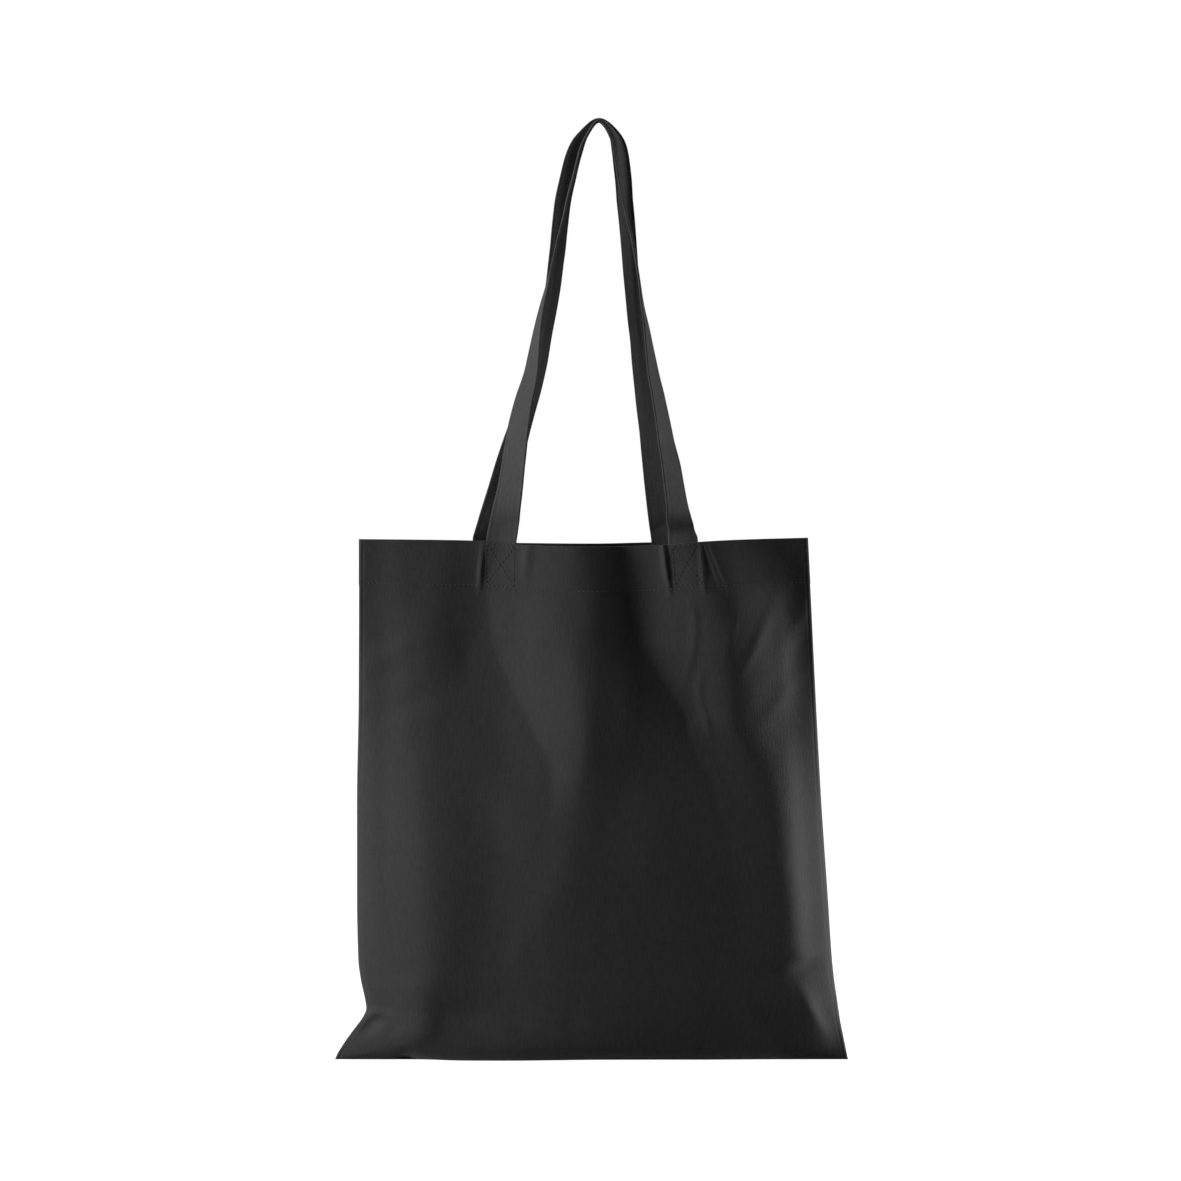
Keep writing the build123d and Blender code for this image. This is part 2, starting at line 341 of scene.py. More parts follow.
def stand_out(side, x, z):
    """Distance in mm from the seam plane to the outer face of the panel at (x, z).

    It is a lens between the seams, (1 - across^2)^fullness times the belly; plus a quarter-round lip and
    a pressed line by each seam; plus folds and waves, faded out towards the seams; plus the step of the
    doubled hem, the line pressed by its stitches, and the dents."""
    left, right = left_edge(z), right_edge(z)
    half = (right - left) / 2
    across = np.clip((x - (left + right) / 2) / half, -1, 1)
    from_edge = half * (1 - np.abs(across))
    lens = belly(z) * (1 - across**2) ** fullness(z)
    lip = LIP * np.sqrt(1 - np.clip(1 - from_edge / 2.0, 0, 1) ** 2)
    pressed = -0.35 * np.exp(-(((from_edge - 2.8) / 0.6) ** 2))
    fade = smooth_step(from_edge / 26.0) * smooth_step(from_edge / 8.0)
    waves = 0.7 * unevenness(x, z, 46, 60, SEED[side]) + 0.22 * unevenness(x, z, 13, 30, SEED[side] + 1)
    drop = rim_height(side, x) - z
    hem_step = 0.35 * smooth_step((HEM_DEPTH + 2.6 - drop) / 1.6)
    sewn = -0.22 * np.exp(-(((drop - HEM_DEPTH) / 0.9) ** 2))
    edge_fade = smooth_step(from_edge / 5.0)
    small = hem_step + sewn + dent_relief(side, x, z)
    return lens + lip + pressed + fade * (fold_relief(side, x, z) + waves) + edge_fade * small


def base_lift(side, x):
    """The base edge leaves the table a little here and there."""
    across = [-190, -150, -137, -124, -100, -60, -20, 10, 50, 90, 150, 190]
    front = [0, 0.2, 2.4, 0.8, 0.2, 0.6, 1.4, 2.4, 2.2, 1.2, 1.0, 0]
    back = [0, 0.5, 0.9, 0.3, 0.2, 0.9, 1.2, 0.8, 0.5, 1.3, 0.6, 0]
    return flow(x, across, front if side == "front" else back)


# %% [markdown]
# ## From surface to mesh
# A panel is one grid. Its rows start at the seam under the base, run out to the edge of the base,
# roll round it, climb the wall, turn over the rim and go down inside as the hem, just as the cloth
# does. Columns crowd together near the seams and around the straps, where the detail is. The UV map
# holds the distance along the cloth in metres, so a weave keeps its scale everywhere.

# %% Grid helpers
MOUTH_LEFT, MOUTH_RIGHT = -172, 160     # X of the seams at the mouth


def columns():
    """Shares from left to right: spacing is fine by the seams and the straps, and coarser between."""
    x = np.linspace(MOUTH_LEFT, MOUTH_RIGHT, 4001)
    from_edge = np.minimum(x - MOUTH_LEFT, MOUTH_RIGHT - x)
    spacing = np.full_like(x, 2.7)
    spacing = np.where((x > -100) & (x < -42), 1.3, spacing)
    spacing = np.where((x > 44) & (x < 108), 1.2, spacing)
    spacing = np.where(from_edge < 6, 0.55, spacing)
    count = np.concatenate([[0], np.cumsum(np.diff(x) / spacing[1:])])
    place = np.interp(np.linspace(0, count[-1], int(count[-1]) + 1), count, x)
    return (place - MOUTH_LEFT) / (MOUTH_RIGHT - MOUTH_LEFT)


def lengths_along(grid, axis):
    """Distance travelled over the grid along one axis, starting from 0."""
    step = np.linalg.norm(np.diff(grid, axis=axis), axis=2)
    pad = [(0, 0), (0, 0)]
    pad[axis] = (1, 0)
    return np.pad(np.cumsum(step, axis=axis), pad)


def unit(vectors):
    """Each vector scaled to length 1."""
    return vectors / np.linalg.norm(vectors, axis=-1, keepdims=True)


def distances(line):
    """Distance travelled along a line of points, at each point."""
    return np.concatenate([[0], np.cumsum(np.linalg.norm(np.diff(line, axis=0), axis=1))])


def carried(at, length, line):
    """The line's three values at the given distances along it."""
    return np.stack([np.interp(at, length, line[:, k]) for k in range(3)], axis=-1)


def grid_faces(rows, cols, wrap=False, flip=False):
    """Quads of a grid, as an array of vertex numbers. wrap joins the last column to the first."""
    i = np.arange(rows - 1)[:, None]
    j = np.arange(cols if wrap else cols - 1)[None, :]
    nxt = (j + 1) % cols
    quads = np.stack([i * cols + j, i * cols + nxt, (i + 1) * cols + nxt, (i + 1) * cols + j], axis=-1)
    quads = quads.reshape(-1, 4)
    return quads[:, ::-1] if flip else quads


def band_faces(rows, cols):
    """Quads round a closed band, and a face at each of its two ends."""
    last = (rows - 1) * cols
    sides = [list(f) for f in grid_faces(rows, cols, wrap=True)]
    return sides + [list(range(cols))[::-1], list(range(last, last + cols))]


def make_mesh(name, points_mm, faces, uv=None, materials=()):
    """A new object from points in mm. uv holds one pair for each point, in metres."""
    mesh = bpy.data.meshes.new(name)
    mesh.from_pydata((np.asarray(points_mm) * MM).tolist(), [], [list(map(int, f)) for f in faces])
    if uv is not None:
        layer = mesh.uv_layers.new(name="cloth")
        corner = np.empty(len(mesh.loops), int)
        mesh.loops.foreach_get("vertex_index", corner)
        layer.data.foreach_set("uv", np.asarray(uv, float)[corner].ravel())
    mesh.polygons.foreach_set("use_smooth", np.ones(len(mesh.polygons), bool))
    for material in materials:
        mesh.materials.append(material)
    mesh.update()
    piece = bpy.data.objects.new(name, mesh)
    bpy.context.scene.collection.objects.link(piece)
    return piece


# %% [markdown]
# ## Materials
# Cotton canvas is a plain weave: warp threads run up the cloth and weft threads across, each passing
# over and under the other. Thick and thin places in the yarn show as short streaks, stronger along
# the warp. Black cotton has no gloss, but its loose fibres catch light at a slant, which is what the
# sheen of the shader is for. The weave is a shader group, used by every cloth with its own values.

# %% Weave group
def node(tree, kind, **values):
    """A new node with its properties and constant inputs set."""
    made = tree.nodes.new(kind)
    for key, value in values.items():
        if key in made.inputs:
            made.inputs[key].default_value = value
        else:
            setattr(made, key, value)
    return made


def calculate(tree, operation, first, second=None, clamp=False):
    """One Math node. Each operand is a number or a socket."""
    made = tree.nodes.new("ShaderNodeMath")
    made.operation, made.use_clamp = operation, clamp
    for i, value in enumerate((first, second)):
        if isinstance(value, (int, float)):
            made.inputs[i].default_value = value
        elif value is not None:
            tree.links.new(value, made.inputs[i])
    return made.outputs[0]


def weave_group():
    """Height and yarn streaks of a plain weave, read from a map in metres along the cloth."""
    group = bpy.data.node_groups.new("plain_weave", "ShaderNodeTree")
    face = group.interface
    face.new_socket("Cloth", in_out="INPUT", socket_type="NodeSocketVector")
    threads = face.new_socket("Threads per metre", in_out="INPUT", socket_type="NodeSocketFloat")
    threads.default_value = 1500.0
    slub = face.new_socket("Streak", in_out="INPUT", socket_type="NodeSocketFloat")
    slub.default_value = 1.0
    face.new_socket("Height", in_out="OUTPUT", socket_type="NodeSocketFloat")
    face.new_socket("Yarn", in_out="OUTPUT", socket_type="NodeSocketFloat")
    face.new_socket("Wear", in_out="OUTPUT", socket_type="NodeSocketFloat")
    enter, leave = group.nodes.new("NodeGroupInput"), group.nodes.new("NodeGroupOutput")
    split = group.nodes.new("ShaderNodeSeparateXYZ")
    group.links.new(enter.outputs["Cloth"], split.inputs[0])

    def wave(axis):
        """Sine with half a wave to each thread, along one direction of the cloth."""
        turns = calculate(group, "MULTIPLY", split.outputs[axis], enter.outputs["Threads per metre"])
        return calculate(group, "SINE", calculate(group, "MULTIPLY", turns, math.pi))

    over = calculate(group, "MULTIPLY", wave(0), wave(1))
    height = calculate(group, "MULTIPLY", calculate(group, "ADD", over, 1.0), 0.5)

    def streak(scale_across, scale_along, detail):
        """Noise drawn out along one thread direction."""
        mapping = node(group, "ShaderNodeMapping")
        mapping.inputs["Scale"].default_value = (scale_across, scale_along, 1.0)
        group.links.new(enter.outputs["Cloth"], mapping.inputs["Vector"])
        noise = node(group, "ShaderNodeTexNoise", Scale=1.0, Detail=detail, Roughness=0.6)
        group.links.new(mapping.outputs[0], noise.inputs["Vector"])
        return calculate(group, "SUBTRACT", noise.outputs["Fac"], 0.5)

    warp, weft = streak(800.0, 110.0, 4.0), streak(60.0, 650.0, 2.0)
    both = calculate(group, "ADD", warp, calculate(group, "MULTIPLY", weft, 0.28))
    yarn = calculate(group, "MULTIPLY", both, enter.outputs["Streak"])
    wear = streak(22.0, 16.0, 4.0)
    group.links.new(height, leave.inputs["Height"])
    group.links.new(yarn, leave.inputs["Yarn"])
    group.links.new(wear, leave.inputs["Wear"])
    return group


WEAVE = weave_group()


def cotton(name, dark, light, threads=1500.0, streak=1.0, sheen=0.16, bump=0.4, rough=0.75):
    """Dyed cotton: two tones mixed by the yarn streaks, a fine bump and a soft sheen. For the thread the
    tones are set lighter than its dye, as a painted highlight.
    """
    material = bpy.data.materials.new(name)
    material.use_nodes = True
    tree = material.node_tree
    shader = tree.nodes["Principled BSDF"]
    shader.inputs["Roughness"].default_value = rough
    shader.inputs["Specular IOR Level"].default_value = 0.22
    shader.inputs["Sheen Weight"].default_value = sheen
    shader.inputs["Sheen Roughness"].default_value = 0.45
    shader.inputs["Sheen Tint"].default_value = (1.0, 1.0, 1.0, 1.0)
    cloth_map = node(tree, "ShaderNodeUVMap", uv_map="cloth")
    weave = tree.nodes.new("ShaderNodeGroup")
    weave.node_tree = WEAVE
    weave.inputs["Threads per metre"].default_value = threads
    weave.inputs["Streak"].default_value = streak
    tree.links.new(cloth_map.outputs[0], weave.inputs["Cloth"])
    tone = calculate(tree, "ADD", calculate(tree, "MULTIPLY", weave.outputs["Yarn"], 2.4), 0.5)
    tone = calculate(tree, "ADD", tone, calculate(tree, "MULTIPLY", weave.outputs["Wear"], 0.35), clamp=True)
    mix = node(tree, "ShaderNodeMix", data_type="RGBA")
    mix.inputs["A"].default_value = (*dark, 1.0)
    mix.inputs["B"].default_value = (*light, 1.0)
    tree.links.new(tone, mix.inputs["Factor"])
    tree.links.new(mix.outputs["Result"], shader.inputs["Base Color"])
    thick_yarn = calculate(tree, "MULTIPLY", weave.outputs["Yarn"], 1.6)
    raised = calculate(tree, "ADD", weave.outputs["Height"], thick_yarn)
    bumped = node(tree, "ShaderNodeBump", Strength=bump, Distance=0.0003)
    tree.links.new(raised, bumped.inputs["Height"])
    tree.links.new(bumped.outputs[0], shader.inputs["Normal"])
    return material


CANVAS = cotton("black_canvas", (0.0055, 0.0055, 0.0056), (0.0135, 0.0135, 0.0137))
CANVAS_INSIDE = cotton("black_canvas_inside", (0.005, 0.005, 0.0051), (0.011, 0.011, 0.0112), sheen=0.12)
STRAP = cotton("black_strap", (0.011, 0.011, 0.0112), (0.025, 0.025, 0.0253), threads=1300.0, streak=0.8)
# The thread is as black as the canvas. Its tones here are lighter than the canvas as a painted highlight, so
# the stitches show as light dashes.
THREAD_PAINTED_HIGHLIGHT = cotton(
    "black_thread_painted_highlight", (0.013, 0.013, 0.0131), (0.023, 0.023, 0.0232), threads=3000.0, sheen=0.1, rough=0.6,
)

# %% [markdown]
# ## The two panels
# Each panel is the grid described above, given its thickness by a Solidify modifier that grows
# inwards, so the outer face stays where it was worked out. The hem is the same cloth, so it is part
# of the same mesh: over the rim it turns through half a circle and runs down inside.

# %% Panels
FOLD = CLOTH + LAYER_AIR / 2            # radius of the turn at the rim, to the outer face
ROLL = 12.0                             # radius of the roll round the edge of the base
BASE_CLEAR = 0.25                       # from the floor to the base
SEAM_GAP = 0.05                         # from the seam plane to the cloth at the bottom seam
LOW_SHARE = 0.16                        # rows are a little closer below this share of the wall
HEM_SHARE = 1 - 40 / RIM                # and closest above this one, by the hem
BASE_ROWS, ROLL_ROWS, HEM_ROWS = 15, 9, 27


def panel_points(side):
    """Rows of points from the bottom seam, under the base, up the wall, over the rim, down the hem."""
    sign, u = SIGN[side], columns()[None, :]

    rolled = 1 - np.cos(np.linspace(0, math.pi / 2, ROLL_ROWS))[:, None]    # share of the roll's height
    x_floor = between_seams(u, np.zeros((1, 1)))
    floor_depth = stand_out(side, x_floor, np.zeros_like(x_floor))
    roll = np.minimum(ROLL, 0.75 * floor_depth)
    lift = base_lift(side, x_floor)

    z_roll = roll * rolled
    x_roll = between_seams(u, z_roll)
    y_roll = stand_out(side, x_roll, z_roll) - roll * (1 - np.sqrt(1 - (1 - rolled) ** 2))
    lift_roll = lift * (1 - rolled)

    inward = 1 - np.linspace(0, 1, BASE_ROWS)[:-1, None]                # 1 at the seam, 0 at the edge
    y_base = SEAM_GAP + (y_roll[:1] - SEAM_GAP) * (1 - inward)
    x_base = x_roll[:1] + 0 * inward
    z_base = BASE_CLEAR + lift * (1 - inward) ** 2

    shares = np.concatenate([
        np.linspace(0.0, LOW_SHARE, 26)[1:], np.linspace(LOW_SHARE, HEM_SHARE, 98)[1:],
        np.linspace(HEM_SHARE, 1.0, 32)[1:],
    ])[:, None]
    top = rim_height(side, between_seams(u, RIM)) - FOLD
    z_wall = roll + shares * (top - roll)
    x_wall = between_seams(u, z_wall)
    y_wall = stand_out(side, x_wall, z_wall)

    outer = np.concatenate([
        np.stack([x_base, sign * y_base, z_base], axis=2),
        np.stack([x_roll, sign * y_roll, BASE_CLEAR + z_roll * (1 - BASE_CLEAR / ROLL) + lift_roll], axis=2),
        np.stack([x_wall, sign * y_wall, z_wall], axis=2),
    ])

    along = np.gradient(outer[-1], axis=0)
    inside = unit(np.stack([along[:, 1], -along[:, 0], 0 * along[:, 0]], axis=1) * sign)
    room = np.clip(np.abs(outer[..., 1]) - 0.1, 0.05, 2 * FOLD) / (2 * FOLD)
    turn = np.linspace(0, math.pi, 9)[1:-1, None, None]
    over = (
        outer[-1] + inside * (FOLD * (1 - np.cos(turn)) * room[-1][:, None])
        + np.array([0, 0, 1.0]) * FOLD * np.sin(turn)
    )
    hem_room = room[::-1][:HEM_ROWS]
    hem = outer[::-1][:HEM_ROWS] + inside[None] * (2 * FOLD * hem_room)[..., None]
    return np.concatenate([outer, over, hem])


def make_panel(side):
    """One panel with its base half and hem, as a solid sheet."""
    grid = panel_points(side)
    rows, cols = grid.shape[:2]
    u = lengths_along(grid, 1)
    u = u - u[:, cols // 2][:, None]
    v = lengths_along(grid, 0)
    uv = np.stack([u, v], axis=2).reshape(-1, 2) * MM
    faces = grid_faces(rows, cols, flip=side == "back")
    piece = make_mesh(f"{side}_cloth", grid.reshape(-1, 3), faces, uv, (CANVAS, CANVAS_INSIDE))
    thick = piece.modifiers.new("canvas_thickness", "SOLIDIFY")
    thick.thickness, thick.offset, thick.material_offset = CLOTH * MM, -1.0, 1
    cut = (float(np.ptp(u[rows // 2])), float(v[:, cols // 2].max()))
    print(f"{piece.name}: {rows} rows, {cols} columns, cut about {cut[0]:.0f} by {cut[1]:.0f} mm")
    return piece, cut


panels = {side: make_panel(side) for side in ("front", "back")}
for side, (piece, cut) in panels.items():
    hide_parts(f"{side}_panel", f"{side}_hem")
    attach(piece, "bag")

# %% [markdown]
# ## Seams
# The panels are sewn inside out, so inside the bag the raw edges of both stand together along each
# side and along the base. They are bound by an overlock stitch, whose threads loop over the edge. The
# strip is a thin closed band, and the overlock is one tube that winds round the strip's free edge.

# %% Seam strips
SEAM_WIDTH = 10.0                       # raw edges beyond the seam
OVERLOCK_PITCH = 3.2                    # from one loop of the overlock to the next
LOOP_POINTS, LOOP_SIDES = 8, 5          # points round a loop, and sides of its thread


def tube(path, radius, sides):
    """Points and faces of a tube along a path: a circle in the plane across the path at each point."""
    path = np.asarray(path, float)
    along = unit(np.gradient(path, axis=0))
    guide = np.where(np.abs(along[:, 2:3]) > 0.9, [[1.0, 0, 0]], [[0, 0, 1.0]])
    across = unit(np.cross(along, guide))
    up = np.cross(across, along)
    turn = np.linspace(0, 2 * math.pi, sides, endpoint=False)
    ring = np.cos(turn)[None, :, None] * across[:, None] + np.sin(turn)[None, :, None] * up[:, None]
    points = (path[:, None] + radius * ring).reshape(-1, 3)
    faces = [list(f) for f in grid_faces(len(path), sides, wrap=True, flip=True)]
    last = (len(path) - 1) * sides
    return points, faces + [list(range(sides)), list(range(last + sides - 1, last - 1, -1))]


def strip(centre, inward, normal, width, thickness):
    """A closed flat band: at each point of a line, a rounded loop reaching width away from it."""
    half = thickness / 2
    turn = np.linspace(-math.pi / 2, math.pi / 2, 5)
    reach = np.concatenate([
        [0, width / 3, 2 * width / 3], width - half + half * np.cos(turn), [2 * width / 3, width / 3, 0],
    ])
    side = np.concatenate([[-half] * 3, half * np.sin(turn), [half] * 3])
    points = centre[:, None] + reach[None, :, None] * inward[:, None] + side[None, :, None] * normal[:, None]
    return points, band_faces(*points.shape[:2])


def make_seam(name, centre, inward, normal):
    """The raw edges along one seam and the overlock thread round them."""
    points, faces = strip(centre, inward, normal, SEAM_WIDTH, 2 * CLOTH)
    uv = np.stack([lengths_along(points, 1), lengths_along(points, 0)], axis=2).reshape(-1, 2) * MM
    cloth = make_mesh(f"{name}_seam_edges", points.reshape(-1, 3), faces, uv, (CANVAS_INSIDE,))
    length = distances(centre)
    loops = int(length[-1] / OVERLOCK_PITCH)
    at = np.linspace(1.0, length[-1] - 1.0, loops * LOOP_POINTS + 1)
    turn = np.linspace(0, 2 * math.pi * loops, loops * LOOP_POINTS + 1)
    place = carried(at, length, centre)
    reach = SEAM_WIDTH - 2.0 + 2.5 * np.cos(turn)
    rise = (CLOTH + 0.35) * np.sin(turn)
    ahead, off = carried(at, length, inward), carried(at, length, normal)
    route = place + reach[:, None] * ahead + rise[:, None] * off
    points, faces = tube(route, 0.26, LOOP_SIDES)
    uv = np.zeros((len(points), 2))
    uv[:, 1] = np.repeat(at, LOOP_SIDES) * MM
    thread = make_mesh(f"{name}_overlock", points, faces, uv, (THREAD_PAINTED_HIGHLIGHT,))
    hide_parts(f"{name}_seam_allowance")
    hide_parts(f"{name}_seam_overlock")
    for piece in (cloth, thread):
        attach(piece, "bag")
    print(f"{name} seam: {length[-1]:.0f} mm long, {loops} loops of overlock")
    return cloth, thread


heights = np.linspace(8, RIM - HEM_DEPTH - 3, 120)
lean = 1.2 * unevenness(heights, 0 * heights, 40, 1, 5)
for edge, line, way in (("left", left_edge, 1.0), ("right", right_edge, -1.0)):
    centre = np.stack([line(heights) + way * 2.4, 0 * heights, heights], axis=1)
    inward = np.stack([way + 0 * heights, 0.12 * lean, 0 * heights], axis=1)
    normal = np.stack([-0.12 * lean, way + 0 * heights, 0 * heights], axis=1)
    make_seam(edge, centre, inward, normal)
# Known fault: the last 25 mm of this strip at each end come up to 3 mm through the back cloth.
along_base = np.linspace(-HALF_WIDTH + 28, HALF_WIDTH - 28, 120)
centre = np.stack([along_base, 0.4 + 0 * along_base, 2.6 + 0 * along_base], axis=1)
inward = np.stack([0 * along_base, 1 + 0 * along_base, 0.02 + 0 * along_base], axis=1)
normal = np.stack([0 * along_base, 0 * along_base, 1 + 0 * along_base], axis=1)
make_seam("bottom", centre, inward, normal)

# %% [markdown]
# ## The straps
# A handle is one length of folded cotton strap. Its ends lie flat inside the hem and follow the hem's
# waves. Above the rim it leans in and turns a quarter, so that it goes over the top edge-on. The
# front strap is turned fully and shows only its edge up there. The back one is turned less, so its
# inner face shows. Each is a rounded band carried along a route, with a turn given at a few heights.

# %% Straps
STRAP_WIDTH = 22.6
STRAP_THICK = 1.7
# Rows of a leg going up from the rim: X, height, and the turn in degrees.
LEGS = {
    "front": {
        "left": [
            (-66.8, 386, 0), (-63.5, 405, 20), (-60.5, 423, 33), (-56.8, 449, 41), (-53.8, 471, 47),
            (-44.3, 512, 64), (-39.6, 542, 77), (-32.9, 573, 86), (-28.4, 592, 90), (-21.8, 621, 90),
            (-11.4, 663, 90), (-6.2, 680, 90), (-1.6, 688.5, 90),
        ],
        "right": [
            (67.4, 386, 16), (63.9, 408, 42), (60.1, 432, 50), (53.8, 467, 61), (47.1, 503, 68),
            (41.2, 539, 80), (36.7, 568, 88), (33.0, 592, 90), (25.4, 627, 90), (18.2, 663, 90),
            (15.6, 680, 90), (12.4, 688.5, 90),
        ],
    },
    "back": {
        "left": [
            (-77.2, 386, 0), (-66.0, 425, 20), (-53.0, 471, 43), (-42.2, 503, 58), (-35.2, 539, 61),
            (-28.6, 574, 62), (-22.6, 628, 60), (-17.8, 654, 60), (-13.0, 672, 61), (-9.4, 681, 65),
            (-3.8, 690, 76),
        ],
        "right": [
            (55.7, 386, 0), (50.0, 425, 24), (43.8, 467, 44), (37.8, 503, 58), (33.8, 539, 61),
            (30.4, 574, 62), (26.0, 628, 60), (23.4, 654, 59), (21.4, 672, 60), (19.6, 681, 64),
            (15.2, 690.2, 75),
        ],
    },
}
APEX_X = 5.3
APEX_HEIGHT = {"front": strap_top - 2.6, "back": strap_top - 0.4}
APEX_Y = 12.6                       # each strap's middle is this far from the seam plane at the top
CLIMB = 190.0                       # it gets there this far above the rim
SEWN_IN = HEM_DEPTH - 4.0           # strap inside the hem
BEND_LENGTH = 12.0                  # the stretch above the rim that bends, which needs closer rows


def band_profile():
    """Closed outline across a strap: flat faces with rounded edges, as two rows (across, off)."""
    half_wide, half_thick = STRAP_WIDTH / 2, STRAP_THICK / 2
    flat = np.linspace(-(half_wide - half_thick), half_wide - half_thick, 23)
    edge_line = 0.16 * np.exp(-(((np.abs(flat) - 8.0) / 0.9) ** 2))      # pressed beside the folded edges
    turn = np.linspace(math.pi / 2, -math.pi / 2, 6)[1:-1]
    across = np.concatenate([
        flat, half_wide - half_thick + half_thick * np.cos(turn),
        flat[::-1], -(half_wide - half_thick) - half_thick * np.cos(turn),
    ])
    off = np.concatenate([
        half_thick - edge_line, half_thick * np.sin(turn),
        edge_line[::-1] - half_thick, -half_thick * np.sin(turn),
    ])
    return across, off


def strap_route(side):
    """Centre and turn of a strap at even steps, from the left sewn end over the top to the right one."""
    left, right = (np.array(LEGS[side][hand], float) for hand in ("left", "right"))
    apex = np.array([[APEX_X, APEX_HEIGHT[side], 90.0]])
    rows = np.concatenate([left, apex, right[::-1]])
    way = np.concatenate([np.full(len(left), 1.0), [0.0], np.full(len(right), -1.0)])
    rows[:, 2] = 90 - way * (90 - rows[:, 2])
    knots = distances(rows[:, :2])
    bend = np.arange(0, BEND_LENGTH, 0.6)
    free = np.linspace(BEND_LENGTH, knots[-1] - BEND_LENGTH, 285)
    s = np.concatenate([bend, free, knots[-1] - bend[::-1]])
    x, z, turn = (spline(s, knots, rows[:, k]) for k in range(3))
    return x + 0.5, z, np.radians(turn)


def spline(at, knots, values):
    """Natural cubic spline: one linear system for the second derivatives, then the usual cubics."""
    n, h = len(knots), np.diff(knots)
    system, right = np.eye(n), np.zeros(n)
    i = np.arange(1, n - 1)
    system[i, i - 1], system[i, i], system[i, i + 1] = h[:-1], 2 * (h[:-1] + h[1:]), h[1:]
    right[1:-1] = 6 * (np.diff(values)[1:] / h[1:] - np.diff(values)[:-1] / h[:-1])
    bend = np.linalg.solve(system, right)
    k = np.clip(np.searchsorted(knots, at) - 1, 0, n - 2)
    a, b, w = knots[k + 1] - at, at - knots[k], h[k]
    return (
        (bend[k] * a**3 + bend[k + 1] * b**3) / (6 * w)
        + (values[k] / w - bend[k] * w / 6) * a + (values[k + 1] / w - bend[k + 1] * w / 6) * b
    )


def strap_points(side):
    """Rings of points along the whole strap, with its ends following the inside of the hem."""
    sign = SIGN[side]
    x, z, turn = strap_route(side)
    below = np.concatenate([np.linspace(-SEWN_IN, -3.0, 12), [-2.4, -1.8, -1.2, -0.6]])
    x = np.concatenate([x[0] + 0 * below, x, x[-1] + 0 * below])
    z = np.concatenate([RIM + below, z, RIM + below[::-1]])
    turn = np.concatenate([turn[0] + 0 * below, turn, turn[-1] + 0 * below])
    inset = 2 * FOLD + LAYER_AIR + STRAP_THICK / 2
    root = stand_out(side, x, np.minimum(z, RIM - 3)) - inset
    climb = smooth_step((z - RIM) / CLIMB)
    y = sign * (root * (1 - climb) + APEX_Y * climb)
    y = np.where(z > RIM + CLIMB, sign * APEX_Y, y)
    path = np.stack([x, y, z], axis=1)
    along = unit(np.gradient(path, axis=0))
    wide = np.stack([np.cos(turn), sign * np.sin(turn), 0 * turn], axis=1)
    wide = unit(wide - along * np.sum(wide * along, axis=1, keepdims=True))
    thick = np.cross(along, wide)
    across, off = band_profile()
    travelled = distances(path)
    rumple = 0.35 * unevenness(travelled, 0 * x, 17, 1, SEED[side] + 3)
    cup = 0.5 * unevenness(travelled, 0 * x, 60, 1, SEED[side] + 4)
    bulge = rumple[:, None] + cup[:, None] * (1 - (2 * across / STRAP_WIDTH) ** 2)[None]
    slant = z[:, None] + sign * 0.45 * across[None]
    crumple = (
        1.1 * np.exp(-(((slant - RIM - 11) / 3.4) ** 2))
        - 0.8 * np.exp(-(((slant - RIM - 5) / 2.6) ** 2))
    )
    bulge = bulge + np.where(x > 0, 1.0, 0.35)[:, None] * crumple
    points = (
        path[:, None] + across[None, :, None] * wide[:, None]
        + (off[None] + bulge)[..., None] * thick[:, None]
    )

    free = smooth_step((points[..., 2] - RIM + 2) / 22.0)
    cloth = sign * (stand_out(side, points[..., 0], np.minimum(points[..., 2], RIM - 3)) - inset)
    flat_y = cloth + off[None] * thick[:, None, 1]
    points[..., 1] = flat_y * (1 - free) + points[..., 1] * free
    return points


def make_strap(side):
    """One strap as a closed band."""
    points = strap_points(side)
    v = lengths_along(points, 0)[:, :1] + 0 * points[..., 0]
    across, _ = band_profile()
    uv = np.stack([across[None] + 0 * v, v], axis=2).reshape(-1, 2) * MM
    piece = make_mesh(f"{side}_strap", points.reshape(-1, 3), band_faces(*points.shape[:2]), uv, (STRAP,))
    length = float(v[:, 0].max())
    print(f"{piece.name}: {length:.0f} mm long")
    return piece, length


straps = {side: make_strap(side) for side in ("front", "back")}

# %% [markdown]
# ## Stitches
# A machine stitch is a short piece of thread that comes up through the cloth, lies on it and goes
# down again. Each is a small arched tube of five rings. Rows of them hold the hem, and a box with a
# cross in it holds each strap end through all the layers, so it shows outside on the hem and inside
# on the strap.

# %% Stitches
STITCH = 2.2                        # length of a stitch
STITCH_PITCH = 3.2                  # from one stitch to the next
THREAD_RADIUS = 0.30
STITCH_RISE, STITCH_SINK = 0.34, 0.12   # height of the arch, and how deep its ends lie in the cloth


def stitches(line, outward):
    """Arched tubes along a line on the cloth: one for each pitch, rising along outward in its middle."""
    length = distances(line)
    count = max(1, int(length[-1] / STITCH_PITCH))
    start = (np.arange(count) + 0.5) * length[-1] / count - STITCH / 2
    t = np.linspace(0, 1, 5)
    at = start[:, None] + STITCH * t[None]
    path, lift = carried(at, length, line), carried(at, length, outward)
    path = path + lift * (STITCH_RISE * np.sin(math.pi * t) - STITCH_SINK)[None, :, None]
    along = unit(np.gradient(path, axis=1))
    across = unit(np.cross(along, lift))
    up = np.cross(across, along)
    radius = THREAD_RADIUS * np.array([0.55, 0.95, 1.0, 0.95, 0.55])
    sides = 6
    turn = np.linspace(0, 2 * math.pi, sides, endpoint=False)
    ring = np.cos(turn)[:, None] * across[:, :, None] + np.sin(turn)[:, None] * up[:, :, None]
    points = path[:, :, None] + radius[None, :, None, None] * ring
    one = [list(f) for f in grid_faces(5, sides, wrap=True, flip=True)]
    one += [list(range(sides)), list(range(5 * sides - 1, 4 * sides - 1, -1))]
    faces = [[i + k * 5 * sides for i in f] for k in range(count) for f in one]
    return points.reshape(-1, 3), faces


